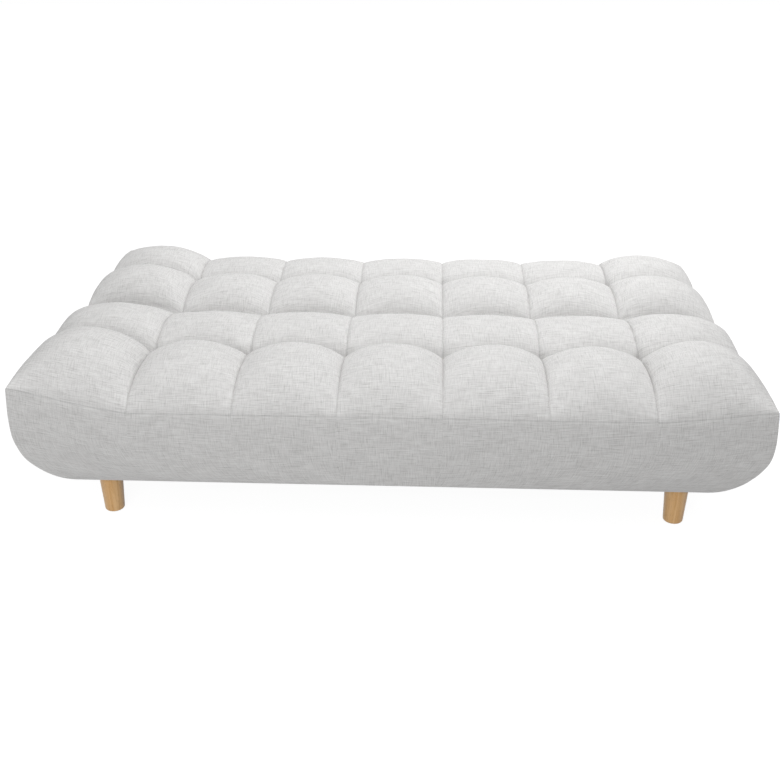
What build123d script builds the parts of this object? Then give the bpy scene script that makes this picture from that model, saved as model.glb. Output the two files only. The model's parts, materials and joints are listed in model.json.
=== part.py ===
from build123d import *
import math
import os

# Three-seat sofa bed laid flat: two tufted panels that meet at a hinge line, on a wooden
# frame with four turned legs. X runs along the width, -Y is the front and +Z is up.
# The origin is on the floor at the middle of the bed. All sizes are in millimetres.

# Plan of the bed
bed_width = 1775
seat_depth = 560
back_depth = 510
split_gap = 10
wing_length = 270
inner_columns = 5
wing_crest_inset = 130

# Heights of the upholstery: the band from the underside to the seam, then rises above the seam
cover_wrap = 5
band_height = 190
band_draw_in = 16
tuft_rise = 38
front_valley_rise = 46
rear_valley_rise = 72
dip_rise = 66
seat_front_puff_rise = 125
seat_rear_puff_rise = 100
back_near_valley_rise = 50
back_near_puff_rise = 95
back_far_valley_rise = 62
back_far_puff_rise = 86
wing_dip_rise = 84
seat_front_wing_rise = 142
seat_rear_wing_rise = 120
back_near_wing_rise = 106
back_far_wing_rise = 112
wing_seam_rise = 14
tip_rise = 50
tip_crown = 10
seat_end_radius = 140
back_end_radius = 104

# Where the crests, the tuft line and the shoulders lie, as shares of a panel's depth
front_crest_share = 0.26
seat_tuft_share = 0.51
rear_crest_share = 0.77
near_crest_share = 0.33
back_tuft_share = 0.51
far_crest_share = 0.77
shoulder_rise_share = 0.5
near_shoulder_share = 0.55
bow_share = 0.25
seat_shoulder_lean = 31
back_shoulder_lean = 60

# Upholstery inside
cover_wall = 20
foam_drop = 12
end_foam_length = 98
end_foam_floor = 65
thread_radius = 1
toggle_radius = 10
toggle_thickness = 3
tie_depth = 6

# Wooden frames
rail_thickness = 28
seat_rail_height = 60
back_rail_height = 45
frame_end_inset = 147.5
corner_block_length = 72
corner_block_width = 48
corner_block_height = 40
rest_block_width = 36
rest_block_length = 60
cross_rail_height = 45
dust_cover_thickness = 0.8

# Zigzag springs and their clips
wire_radius = 1.8
spring_half_width = 22
spring_steps = 15
spring_bend_share = 0.46
clip_wall = 2
clip_length = 18
clip_offset = 6

# Legs
leg_length = 118
leg_top_radius = 30
leg_foot_radius = 24
leg_foot_rounding = 5
leg_bolt_radius = 4
leg_bolt_depth = 60
leg_plate_side = 66
leg_plate_thickness = 3
plate_screw_inset = 8
plate_screw_radius = 2
plate_screw_length = 20
screw_head_thickness = 2.6
screw_head_ratio_share = 2
front_leg_setback = 78
pad_radius = 18
pad_thickness = 3
pad_recess = 1.5

# Steel support rails under the backrest
support_width = 25
support_height = 40
support_wall = 2
support_reach = 325
support_overlap = 280
rear_leg_inset = 35
cap_thickness = 3
cap_plug_depth = 15
rail_bolt_radius = 4
rail_bolt_head_radius = 8
rail_bolt_head_thickness = 5
rail_bolt_inset = 40
rail_bolt_spacing = 60
nut_radius = 7.5
nut_thickness = 6.5
bumper_radius = 11
bumper_height = 6

# Click-clack hinge at each end
arm_thickness = 4
arm_width = 34
arm_boss_radius = 15
seat_arm_knee_setback = 45
seat_arm_toe_setback = 135
back_arm_heel_reach = 70
back_arm_toe_reach = 150
pivot_radius = 5
bush_wall = 1.5
pivot_head_radius = 9
pivot_head_thickness = 5
pivot_washer_thickness = 1.5
sector_radius = 52
sector_notch_depth = 9
sector_first_tooth = -45
sector_notch_start = -33
sector_notch_end = -22
sector_last_tooth = -5
sector_rivet_radius = 2.5
sector_rivet_reach = 32
sector_rivet_angle = -16
second_rivet_angle = -38
sector_mount_width = 22
pawl_thickness = 3.4
pawl_pin_reach = 92
pawl_pin_angle = -20
pawl_pin_radius = 4
pawl_boss_radius = 10
pawl_knuckle_reach = 70
pawl_nose_reach = 57
pawl_nose_angle = -65
pawl_bar_width = 12
pawl_nose_width = 8
pawl_guard_width = 38
pin_head_radius = 6.5
pin_head_thickness = 2
stop_pin_radius = 3
stop_pin_station = 52
spring_eye_radius = 4
spring_eye_station = 4
spring_eye_offset = 17
spring_tip_station = 38
spring_strip_thickness = 1.4
spring_rivet_radius = 1.6
arm_screw_radius = 2.5
arm_screw_length = 26
pocket_margin = 8
pocket_rise = 6

# Clearances
fit = 0.3
running_gap = 0.4
hole_clearance = 0.2
overrun = 10

# Places that follow from the sizes above
half_width = bed_width / 2
column_pitch = (bed_width - 2 * wing_length) / inner_columns
frame_half_length = half_width - frame_end_inset
bed_depth = seat_depth + split_gap + back_depth
front_y = -bed_depth / 2
seat_rear_y = front_y + seat_depth
back_near_y = seat_rear_y + split_gap
back_far_y = bed_depth / 2
frame_z = leg_length + leg_plate_thickness
seat_bottom_z = frame_z - cover_wrap
seam_z = seat_bottom_z + band_height
hinge_y = seat_rear_y + split_gap / 2
hinge_z = seam_z
foam_top_z = seam_z - foam_drop
seat_frame_top_z = frame_z + seat_rail_height
spring_space = clip_wall + 2 * wire_radius + clip_wall
support_top_z = frame_z + support_height
bumper_top_z = support_top_z + bumper_height
back_frame_z = bumper_top_z + fit + dust_cover_thickness
back_frame_top_z = back_frame_z + back_rail_height
back_bottom_z = back_frame_z - cover_wrap + 2 * dust_cover_thickness
support_outer_x = frame_half_length - rail_thickness
support_x = support_outer_x - support_width / 2
support_end_y = seat_rear_y + support_reach
support_start_y = seat_rear_y - support_overlap
front_leg_y = front_y + front_leg_setback
rear_leg_y = support_end_y - rear_leg_inset
last_seam_x = inner_columns * column_pitch / 2
seat_tuft_y = front_y + seat_tuft_share * seat_depth
back_tuft_y = back_near_y + back_tuft_share * back_depth

# Layers of the hinge, outwards from the seat's side rail
seat_arm_x = frame_half_length
sector_x = seat_arm_x + arm_thickness
back_arm_x = sector_x + arm_thickness + running_gap
pivot_washer_x = back_arm_x + arm_thickness + running_gap
pivot_nut_x = pivot_washer_x + pivot_washer_thickness
pivot_end_x = pivot_nut_x + nut_thickness + pin_head_thickness
pawl_x = back_arm_x - running_gap - pawl_thickness
back_frame_half_length = back_arm_x
pocket_inner_x = frame_half_length - pivot_head_thickness - pocket_margin / 2
pocket_outer_x = pivot_end_x + pocket_margin
seat_arm_z = frame_z + seat_rail_height / 2
back_arm_z = back_frame_z + back_rail_height / 2
seat_pocket_y = seat_rear_y - seat_arm_toe_setback - arm_width / 2 - pocket_margin / 2
back_pocket_y = back_near_y + back_arm_toe_reach + arm_width / 2 + pocket_margin / 2


def block(x0, x1, y0, y1, z0, z1):
    """Box between the given faces."""
    return Pos((x0 + x1) / 2, (y0 + y1) / 2, (z0 + z1) / 2) * Box(x1 - x0, y1 - y0, z1 - z0)


def rod_x(x0, x1, y, z, radius):
    """Round bar along X."""
    return Pos((x0 + x1) / 2, y, z) * Rot(0, 90, 0) * Cylinder(radius, x1 - x0)


def rod_z(x, y, z0, z1, radius):
    """Round bar along Z."""
    return Pos(x, y, (z0 + z1) / 2) * Cylinder(radius, z1 - z0)


def link_bar(x0, x1, start, end, width):
    """Flat bar between two points of the YZ plane, with round ends, from x0 to x1."""
    dy = end[0] - start[0]
    dz = end[1] - start[1]
    turn = math.degrees(math.atan2(dz, dy))
    place = Pos((x0 + x1) / 2, (start[0] + end[0]) / 2, (start[1] + end[1]) / 2)
    bar = place * Rot(turn, 0, 0) * Box(x1 - x0, math.hypot(dy, dz), width)
    for y, z in (start, end):
        bar += rod_x(x0, x1, y, z, width / 2)
    return bar


def around_pivot(reach, angle):
    """Point of the YZ plane at a reach from the hinge axis and an angle above the back's side."""
    turn = math.radians(angle)
    return (hinge_y + reach * math.cos(turn), hinge_z + reach * math.sin(turn))


def mirrored_pair(piece):
    """The piece at +X and its mirror image at -X."""
    return [piece, mirror(piece, about=Plane.YZ)]


def outline_face(x, outline):
    """Face in the plane at x. Each entry is a corner and the point its next edge arcs through, or None."""
    edges = []
    for index, (corner, through) in enumerate(outline):
        following = outline[(index + 1) % len(outline)][0]
        if through is None:
            edges.append(Edge.make_line(Vector(x, *corner), Vector(x, *following)))
        else:
            edges.append(Edge.make_three_point_arc(Vector(x, *corner), Vector(x, *through), Vector(x, *following)))
    return Face(Wire(edges))


def seat_section(x, seam, front_crest, tuft, rear_crest):
    """Cross-section of the seat cushion, with its four heights counted from the front seam."""
    seam_point = (front_y, seam_z + seam)
    band_point = (front_y + bow_share * band_draw_in, seat_bottom_z + (band_height + seam) / 2)
    shoulder_rise = shoulder_rise_share * rear_crest
    shoulder_run = shoulder_rise * math.tan(math.radians(seat_shoulder_lean))
    return outline_face(x, [
        (seam_point, band_point),
        ((front_y + band_draw_in, seat_bottom_z), None),
        ((seat_rear_y, seat_bottom_z), None),
        ((seat_rear_y, hinge_z), None),
        ((seat_rear_y - shoulder_run, hinge_z + shoulder_rise),
         (front_y + rear_crest_share * seat_depth, seam_z + rear_crest)),
        ((seat_tuft_y, seam_z + tuft),
         (front_y + front_crest_share * seat_depth, seam_z + front_crest)),
    ])


def back_section(x, seam, near_crest, tuft, far_crest):
    """Cross-section of the backrest cushion, with its four heights counted from the seam."""
    shoulder_rise = near_shoulder_share * near_crest
    shoulder_run = shoulder_rise * math.tan(math.radians(back_shoulder_lean))
    band_middle_z = (back_bottom_z + seam_z + seam) / 2
    return outline_face(x, [
        ((back_near_y, hinge_z), None),
        ((back_near_y + shoulder_run, hinge_z + shoulder_rise),
         (back_near_y + near_crest_share * back_depth, hinge_z + near_crest)),
        ((back_tuft_y, seam_z + tuft),
         (back_near_y + far_crest_share * back_depth, seam_z + far_crest)),
        ((back_far_y, seam_z + seam), (back_far_y - bow_share * band_draw_in, band_middle_z)),
        ((back_far_y - band_draw_in, back_bottom_z), None),
        ((back_near_y, back_bottom_z), None),
    ])


def end_profile(bottom_z, radius):
    """Front outline of the cushions as a long prism: flat below, with large rounded lower corners."""
    top_z = hinge_z + band_height
    flat = half_width - radius
    corner = radius * math.sqrt(0.5)
    left_arc = Edge.make_three_point_arc(
        Vector(-half_width, front_y - overrun, bottom_z + radius),
        Vector(-flat - corner, front_y - overrun, bottom_z + radius - corner),
        Vector(-flat, front_y - overrun, bottom_z),
    )
    right_arc = Edge.make_three_point_arc(
        Vector(flat, front_y - overrun, bottom_z),
        Vector(flat + corner, front_y - overrun, bottom_z + radius - corner),
        Vector(half_width, front_y - overrun, bottom_z + radius),
    )
    top_left = Vector(-half_width, front_y - overrun, top_z)
    top_right = Vector(half_width, front_y - overrun, top_z)
    edges = [
        left_arc,
        Edge.make_line(left_arc @ 1, right_arc @ 0),
        right_arc,
        Edge.make_line(right_arc @ 1, top_right),
        Edge.make_line(top_right, top_left),
        Edge.make_line(top_left, left_arc @ 0),
    ]
    return Solid.extrude(Face(Wire(edges)), Vector(0, bed_depth + 2 * overrun, 0))


def tufted_form(section, valley, puff, wing, tip):
    """Seven crowned columns side by side: five alike, and at each end a wing that rises to a tip."""
    half_pitch = column_pitch / 2
    wing_x = half_width - wing_crest_inset
    wing_column = loft([
        section(last_seam_x, *valley),
        section(wing_x, *wing),
        section(half_width, *tip),
    ])
    form = Part() + mirrored_pair(wing_column)
    for index in range(inner_columns):
        x = -last_seam_x + half_pitch + index * column_pitch
        form += loft([
            section(x - half_pitch, *valley),
            section(x, *puff),
            section(x + half_pitch, *valley),
        ])
    return form


def hinge_pocket(y0, y1, z0):
    """Space at each end that the hinge arms work in, with room for the pivot boss above the seam."""
    slot = block(pocket_inner_x, pocket_outer_x, y0, y1, z0, hinge_z + pocket_rise)
    slot += rod_x(pocket_inner_x, pocket_outer_x, hinge_y, hinge_z, arm_boss_radius + running_gap)
    return mirrored_pair(slot)


def tuft_places(y):
    """Plan positions of a panel's tufts, on the column seams."""
    return [(-last_seam_x + index * column_pitch, y) for index in range(inner_columns + 1)]


def tie_holes(y, z0):
    """Holes for the tuft threads, from z0 up to just under the tufts."""
    top_z = seam_z + tuft_rise - tie_depth + hole_clearance
    return [rod_z(x, y, z0, top_z, thread_radius + hole_clearance) for x, y in tuft_places(y)]


def tuft_ties(y, foam_z):
    """Threads that pull the tufts down, each with a round toggle under the foam."""
    ties = []
    for x, place_y in tuft_places(y):
        thread = rod_z(x, place_y, foam_z - fit - toggle_thickness, seam_z + tuft_rise - tie_depth, thread_radius)
        toggle = rod_z(x, place_y, foam_z - fit - toggle_thickness, foam_z - fit, toggle_radius)
        ties.append(thread + toggle)
    return ties


def seat_cover():
    """Quilted cover of the seat, open below for the frame, with notches for hinges and support rails."""
    form = tufted_form(
        seat_section,
        (0, front_valley_rise, tuft_rise, rear_valley_rise),
        (0, seat_front_puff_rise, dip_rise, seat_rear_puff_rise),
        (wing_seam_rise, seat_front_wing_rise, wing_dip_rise, seat_rear_wing_rise),
        (tip_rise, tip_rise + tip_crown, tip_rise + tip_crown, tip_rise + tip_crown),
    )
    cover = form & end_profile(seat_bottom_z, seat_end_radius)
    inner_x = frame_half_length + fit
    cover -= block(-inner_x, inner_x, front_y + cover_wall, seat_rear_y - cover_wall,
                   seat_bottom_z - overrun, foam_top_z + fit)
    cover -= seat_end_foam_space(fit)
    cover -= hinge_pocket(seat_pocket_y, seat_rear_y + overrun, seat_bottom_z - overrun)
    notch = block(support_outer_x - support_width - fit, support_outer_x + fit,
                  seat_rear_y - cover_wall - overrun, seat_rear_y + overrun,
                  seat_bottom_z - overrun, support_top_z + fit)
    cover -= mirrored_pair(notch)
    cover -= tie_holes(seat_tuft_y, foam_top_z)
    return cover


def back_cover():
    """Quilted cover of the backrest, open below for the frame, with notches for the hinges."""
    form = tufted_form(
        back_section,
        (0, back_near_valley_rise, tuft_rise, back_far_valley_rise),
        (0, back_near_puff_rise, dip_rise, back_far_puff_rise),
        (wing_seam_rise, back_near_wing_rise, wing_dip_rise, back_far_wing_rise),
        (tip_rise, tip_rise + tip_crown, tip_rise + tip_crown, tip_rise + tip_crown),
    )
    cover = form & end_profile(back_bottom_z, back_end_radius)
    inner_x = back_frame_half_length + fit
    cover -= block(-inner_x, inner_x, back_near_y + cover_wall, back_far_y - cover_wall,
                   back_bottom_z - overrun, foam_top_z + fit)
    cover -= back_end_foam_space(fit)
    cover -= hinge_pocket(back_near_y - overrun, back_pocket_y, back_bottom_z - overrun)
    cover -= tie_holes(back_tuft_y, foam_top_z)
    return cover


def seat_end_foam_space(margin):
    """Room for the seat's end foams, or with no margin the foams themselves."""
    start_x = frame_half_length + fit
    space = block(start_x - margin, start_x + end_foam_length + margin,
                  front_y + cover_wall + fit - margin, seat_pocket_y - cover_wall + margin,
                  seat_bottom_z + end_foam_floor - margin, foam_top_z + margin)
    return mirrored_pair(space)


def back_end_foam_space(margin):
    """Room for the backrest's end foams, or with no margin the foams themselves."""
    start_x = back_frame_half_length + fit
    space = block(start_x - margin, start_x + end_foam_length + margin,
                  back_pocket_y + cover_wall - margin, back_far_y - cover_wall - fit + margin,
                  back_bottom_z + end_foam_floor - margin, foam_top_z + margin)
    return mirrored_pair(space)


def foam(y0, y1, z0, tuft_y):
    """Foam slab on the springs, with holes for the tuft threads."""
    half_length = pocket_inner_x - fit
    slab = block(-half_length, half_length, y0, y1, z0, foam_top_z)
    slab -= tie_holes(tuft_y, z0 - overrun)
    return slab


def seat_foam():
    """Foam slab of the seat."""
    foam_z = seat_frame_top_z + spring_space + fit
    return foam(front_y + cover_wall + fit, seat_rear_y - cover_wall - fit, foam_z, seat_tuft_y)


def back_foam():
    """Foam slab of the backrest."""
    foam_z = back_frame_top_z + spring_space + fit
    return foam(back_near_y + cover_wall + fit, back_far_y - cover_wall - fit, foam_z, back_tuft_y)


def seat_side_rail():
    """Right side rail of the seat, drilled for the support rail's bolts and the arm's screws."""
    rail = block(support_outer_x, frame_half_length, front_y + cover_wall + fit, seat_rear_y - cover_wall - fit,
                 frame_z, seat_frame_top_z)
    for y in rail_bolt_places():
        rail -= rod_x(support_outer_x - overrun, frame_half_length + overrun, y, support_middle_z(),
                      rail_bolt_radius + hole_clearance)
        rail -= rod_x(frame_half_length - rail_bolt_head_thickness - fit, frame_half_length + overrun, y,
                      support_middle_z(), rail_bolt_head_radius + fit)
    for y, z in seat_arm_screw_places():
        rail -= rod_x(frame_half_length - arm_screw_length, frame_half_length + overrun, y, z, arm_screw_radius)
    rail -= leg_plate_screw_holes(support_x, front_leg_y)
    return rail


def seat_front_rail():
    """Front rail of the seat, between the side rails."""
    y0 = front_y + cover_wall + fit
    return block(-support_outer_x, support_outer_x, y0, y0 + rail_thickness, frame_z, seat_frame_top_z)


def seat_rear_rail():
    """Rear rail of the seat, between the support rails."""
    half_length = support_outer_x - support_width
    y1 = seat_rear_y - cover_wall - fit
    return block(-half_length, half_length, y1 - rail_thickness, y1, frame_z, seat_frame_top_z)


def seat_cross_rails():
    """Two rails across the seat frame, under the springs."""
    y0 = front_y + cover_wall + fit + rail_thickness
    y1 = seat_rear_y - cover_wall - fit - rail_thickness
    x = 1.5 * column_pitch
    rail = block(x - rail_thickness / 2, x + rail_thickness / 2, y0, y1, frame_z, frame_z + cross_rail_height)
    return mirrored_pair(rail)


def seat_corner_blocks():
    """Blocks in the front corners of the seat frame that the front legs screw into."""
    y0 = front_y + cover_wall + fit + rail_thickness
    corner = block(support_outer_x - corner_block_width, support_outer_x, y0, y0 + corner_block_length,
                   frame_z, frame_z + corner_block_height)
    corner -= rod_z(support_x, front_leg_y, frame_z - overrun, leg_bolt_top_z() + hole_clearance,
                    leg_bolt_radius + hole_clearance)
    corner -= leg_plate_screw_holes(support_x, front_leg_y)
    return mirrored_pair(corner)


def leg_bolt_top_z():
    """Upper end of the leg bolts, inside the corner blocks and the support rails."""
    return frame_z + support_height - support_wall - overrun / 2


def leg_plate_screw_places(x, y):
    """Plan positions of the four screws in a leg plate."""
    offset = leg_plate_side / 2 - plate_screw_inset
    return [(x + i * offset, y + j * offset) for i in (-1, 1) for j in (-1, 1)]


def leg_plate_screw_holes(x, y):
    """Holes for the screws that hold a leg plate, running up from the frame's underside."""
    top_z = frame_z - leg_plate_thickness + plate_screw_length
    return [rod_z(px, py, frame_z - overrun, top_z, plate_screw_radius) for px, py in leg_plate_screw_places(x, y)]


def rail_bolt_places():
    """Stations along Y of the bolts that hold a support rail to its side rail."""
    first = support_start_y + rail_bolt_inset
    return [first, first + rail_bolt_spacing]


def support_middle_z():
    """Height of a support rail's middle."""
    return frame_z + support_height / 2


def support_rail():
    """Right steel tube that carries the flat backrest from the seat frame."""
    x0 = support_outer_x - support_width
    tube = block(x0, support_outer_x, support_start_y, support_end_y, frame_z, support_top_z)
    tube -= block(x0 + support_wall, support_outer_x - support_wall, support_start_y - overrun,
                  support_end_y + overrun, frame_z + support_wall, support_top_z - support_wall)
    for y in rail_bolt_places():
        tube -= rod_x(x0 - overrun, support_outer_x + overrun, y, support_middle_z(),
                      rail_bolt_radius + hole_clearance)
    tube -= rod_z(support_x, rear_leg_y, frame_z - overrun, frame_z + support_wall + fit,
                  leg_bolt_radius + hole_clearance)
    return tube


def support_caps():
    """Plastic plugs in the rear ends of the support rails."""
    half = support_width / 2
    cap = block(support_x - half, support_x + half, support_end_y, support_end_y + cap_thickness,
                frame_z, support_top_z)
    inset = support_wall + hole_clearance
    cap += block(support_x - half + inset, support_x + half - inset, support_end_y - cap_plug_depth,
                 support_end_y, frame_z + inset, support_top_z - inset)
    return mirrored_pair(cap)


def rail_bolts():
    """Bolts through each side rail and support rail, with their heads sunk in the side rail."""
    bolts = []
    head_x = frame_half_length - fit - rail_bolt_head_thickness
    end_x = support_outer_x - support_width - nut_thickness - fit
    for y in rail_bolt_places():
        bolt = rod_x(head_x, head_x + rail_bolt_head_thickness, y, support_middle_z(), rail_bolt_head_radius)
        bolt += rod_x(end_x, head_x, y, support_middle_z(), rail_bolt_radius)
        bolts += mirrored_pair(bolt)
    return bolts


def hex_nut(x0, y, z, bolt_radius):
    """Hexagonal nut with its axis along X."""
    side = Pos(x0 + nut_thickness / 2, y, z) * Rot(0, 90, 0)
    nut = side * extrude(RegularPolygon(nut_radius, 6), nut_thickness / 2, both=True)
    return nut - rod_x(x0 - overrun, x0 + nut_thickness + overrun, y, z, bolt_radius)


def rail_nuts():
    """Nuts on the inner ends of the rail bolts."""
    nuts = []
    for y in rail_bolt_places():
        x0 = support_outer_x - support_width - nut_thickness
        nuts += mirrored_pair(hex_nut(x0, y, support_middle_z(), rail_bolt_radius))
    return nuts


def leg(x, y):
    """Turned leg that tapers to a rounded foot, bored for its bolt and recessed for its pad."""
    height = leg_length - pad_recess
    shaft = Pos(x, y, pad_recess + height / 2) * Cone(leg_foot_radius, leg_top_radius, height)
    shaft = fillet(shaft.edges().sort_by(Axis.Z)[0], leg_foot_rounding)
    shaft -= rod_z(x, y, 0, pad_thickness, pad_radius + hole_clearance)
    shaft -= rod_z(x, y, leg_length - leg_bolt_depth, leg_length + overrun, leg_bolt_radius)
    return shaft


def leg_places():
    """Names and plan positions of the four legs."""
    return {
        "front_left_leg": (-support_x, front_leg_y),
        "front_right_leg": (support_x, front_leg_y),
        "rear_left_leg": (-support_x, rear_leg_y),
        "rear_right_leg": (support_x, rear_leg_y),
    }


def leg_plates():
    """Square steel plates between the legs and the frame: screwed on in front, welded on behind."""
    plates = []
    half = leg_plate_side / 2
    for y in (front_leg_y, rear_leg_y):
        plate = block(support_x - half, support_x + half, y - half, y + half, leg_length, frame_z)
        plate -= rod_z(support_x, y, leg_length - overrun, frame_z + overrun, leg_bolt_radius + hole_clearance)
        if y == front_leg_y:
            for px, py in leg_plate_screw_places(support_x, y):
                plate -= rod_z(px, py, leg_length - overrun, frame_z + overrun, plate_screw_radius)
        plates += mirrored_pair(plate)
    return plates


def leg_bolts():
    """Threaded rods that hold the legs to the frame."""
    return [rod_z(x, y, leg_length - leg_bolt_depth, leg_bolt_top_z(), leg_bolt_radius)
            for x, y in leg_places().values()]


def leg_plate_screws():
    """Screws that hold the front leg plates to the wooden frame."""
    screws = []
    for px, py in leg_plate_screw_places(support_x, front_leg_y):
        screw = rod_z(px, py, leg_length, leg_length + plate_screw_length, plate_screw_radius)
        screw += rod_z(px, py, leg_length - screw_head_thickness / 2, leg_length,
                       screw_head_ratio_share * plate_screw_radius)
        screws += mirrored_pair(screw)
    return screws


def leg_pads():
    """Felt pads under the legs."""
    return [rod_z(x, y, 0, pad_thickness, pad_radius) for x, y in leg_places().values()]


def seat_dust_cover():
    """Cloth under the seat frame, cut out round the front leg plates."""
    half = frame_half_length - fit
    sheet = block(-half, half, front_y + cover_wall + fit, seat_rear_y - cover_wall - fit,
                  frame_z - dust_cover_thickness, frame_z)
    reach = leg_plate_side / 2 + fit
    hole = block(support_x - reach, support_x + reach, front_leg_y - reach, front_leg_y + reach,
                 frame_z - overrun, frame_z + overrun)
    return sheet - mirrored_pair(hole)


def back_dust_cover():
    """Cloth under the backrest frame."""
    half = back_frame_half_length - fit
    return block(-half, half, back_near_y + cover_wall + fit, back_far_y - cover_wall - fit,
                 back_frame_z - dust_cover_thickness, back_frame_z)


def zigzag_spring(y0, y1, wire_z):
    """Zigzag wire on the line x = 0, from y0 to y1, with its first and last run along X."""
    step = (y1 - y0) / spring_steps
    points = []
    for index in range(spring_steps + 1):
        side = -1 if index % 2 == 0 else 1
        y = y0 + index * step
        points.append((side * spring_half_width, y, wire_z))
        points.append((-side * spring_half_width, y, wire_z))
    path = FilletPolyline(*points, radius=spring_bend_share * step)
    return sweep(Plane(path @ 0, z_dir=path % 0) * Circle(wire_radius), path=path)


def zigzag_springs(y0, y1, frame_top):
    """One zigzag spring under each inner column."""
    spring = zigzag_spring(y0, y1, frame_top + clip_wall + wire_radius)
    return [Pos(x, 0, 0) * spring for x in spring_columns()]


def spring_columns():
    """Positions along X of the springs, at the middles of the inner columns."""
    return [(index - (inner_columns - 1) / 2) * column_pitch for index in range(inner_columns)]


def spring_clips(y0, y1, frame_top):
    """Folded clips that hold the ends of the springs on the front and rear rails."""
    clips = []
    last_side = -1 if spring_steps % 2 == 0 else 1
    for x in spring_columns():
        for y, side in ((y0, -1), (y1, -last_side)):
            middle = x + side * clip_offset
            half = clip_wall + wire_radius
            clip = block(middle - clip_length / 2, middle + clip_length / 2, y - half, y + half,
                         frame_top, frame_top + spring_space)
            clip -= rod_x(middle - clip_length, middle + clip_length, y, frame_top + clip_wall + wire_radius,
                          wire_radius + hole_clearance / 2)
            clips.append(clip)
    return clips


def seat_spring_ends():
    """First and last station of the seat springs, at the middles of the front and rear rails."""
    inset = cover_wall + fit + rail_thickness / 2
    return front_y + inset, seat_rear_y - inset


def back_spring_ends():
    """First and last station of the backrest springs, at the middles of its near and far rails."""
    inset = cover_wall + fit + rail_thickness / 2
    return back_near_y + inset, back_far_y - inset


def back_side_rail():
    """Right side rail of the backrest, drilled for the arm's screws."""
    rail = block(back_frame_half_length - rail_thickness, back_frame_half_length,
                 back_near_y + cover_wall + fit, back_far_y - cover_wall - fit, back_frame_z, back_frame_top_z)
    for y, z in back_arm_screw_places():
        rail -= rod_x(back_frame_half_length + arm_thickness - arm_screw_length,
                      back_frame_half_length + overrun, y, z, arm_screw_radius)
    return rail


def back_cross_beam(y0):
    """Rail along X between the backrest's side rails, with its near face at y0."""
    half = back_frame_half_length - rail_thickness
    return block(-half, half, y0, y0 + rail_thickness, back_frame_z, back_frame_top_z)


def back_cross_rails():
    """Two rails across the backrest frame, under the springs."""
    y0 = back_near_y + cover_wall + fit + rail_thickness
    y1 = back_far_y - cover_wall - fit - rail_thickness
    x = 1.5 * column_pitch
    top_z = back_frame_z + cross_rail_height * back_rail_height / seat_rail_height
    return mirrored_pair(block(x - rail_thickness / 2, x + rail_thickness / 2, y0, y1, back_frame_z, top_z))


def bumper_places():
    """Stations along Y of the rubber bumpers: near the hinge, and over the rear leg."""
    return [back_near_y + cover_wall + rail_thickness + rest_block_length / 2, rear_leg_y]


def back_rest_blocks():
    """Wooden blocks inside the backrest frame that come down on the bumpers."""
    blocks = []
    x1 = back_frame_half_length - rail_thickness
    for y in bumper_places():
        half = rest_block_length / 2 - fit
        blocks += mirrored_pair(block(x1 - rest_block_width, x1, y - half, y + half, back_frame_z, back_frame_top_z))
    return blocks


def bumpers():
    """Rubber bumpers on the support rails that the flat backrest lies on."""
    pads = []
    for y in bumper_places():
        pads += mirrored_pair(rod_z(support_x, y, support_top_z, bumper_top_z, bumper_radius))
    return pads


def seat_arm_knee():
    """Point on the seat's side rail where the seat arm turns up to the pivot."""
    return (seat_rear_y - seat_arm_knee_setback, seat_arm_z)


def seat_arm_toe():
    """Front end of the seat arm on the side rail."""
    return (seat_rear_y - seat_arm_toe_setback, seat_arm_z)


def seat_arm_screw_places():
    """Three screws along the foot of the seat arm."""
    knee = seat_arm_knee()[0]
    toe = seat_arm_toe()[0]
    return [(knee, seat_arm_z), ((knee + toe) / 2, seat_arm_z), (toe, seat_arm_z)]


def back_arm_heel():
    """Near end of the back arm's foot on the backrest's side rail."""
    return (back_near_y + back_arm_heel_reach, back_arm_z)


def back_arm_toe():
    """Far end of the back arm's foot."""
    return (back_near_y + back_arm_toe_reach, back_arm_z)


def back_arm_screw_places():
    """Three screws along the foot of the back arm."""
    heel = back_arm_heel()[0]
    toe = back_arm_toe()[0]
    return [(heel, back_arm_z), ((heel + toe) / 2, back_arm_z), (toe, back_arm_z)]


def rivet_places():
    """The two rivets that hold a toothed sector to its seat arm."""
    return [around_pivot(sector_rivet_reach, angle) for angle in (sector_rivet_angle, second_rivet_angle)]


def seat_arm():
    """Fixed half of the right hinge: a bent flat bar from the seat's side rail up to the pivot."""
    pivot = (hinge_y, hinge_z)
    x0 = seat_arm_x
    x1 = seat_arm_x + arm_thickness
    arm = link_bar(x0, x1, pivot, seat_arm_knee(), 2 * arm_boss_radius)
    arm += link_bar(x0, x1, seat_arm_knee(), seat_arm_toe(), arm_width)
    middle_angle = (sector_rivet_angle + second_rivet_angle) / 2
    arm += link_bar(x0, x1, pivot, around_pivot(sector_rivet_reach, middle_angle), sector_mount_width)
    arm -= rod_x(x0 - overrun, x1 + overrun, hinge_y, hinge_z, pivot_radius + hole_clearance)
    for y, z in seat_arm_screw_places():
        arm -= rod_x(x0 - overrun, x1 + overrun, y, z, arm_screw_radius)
    for y, z in rivet_places():
        arm -= rod_x(x0 - overrun, x1 + overrun, y, z, sector_rivet_radius)
    return arm


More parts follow.
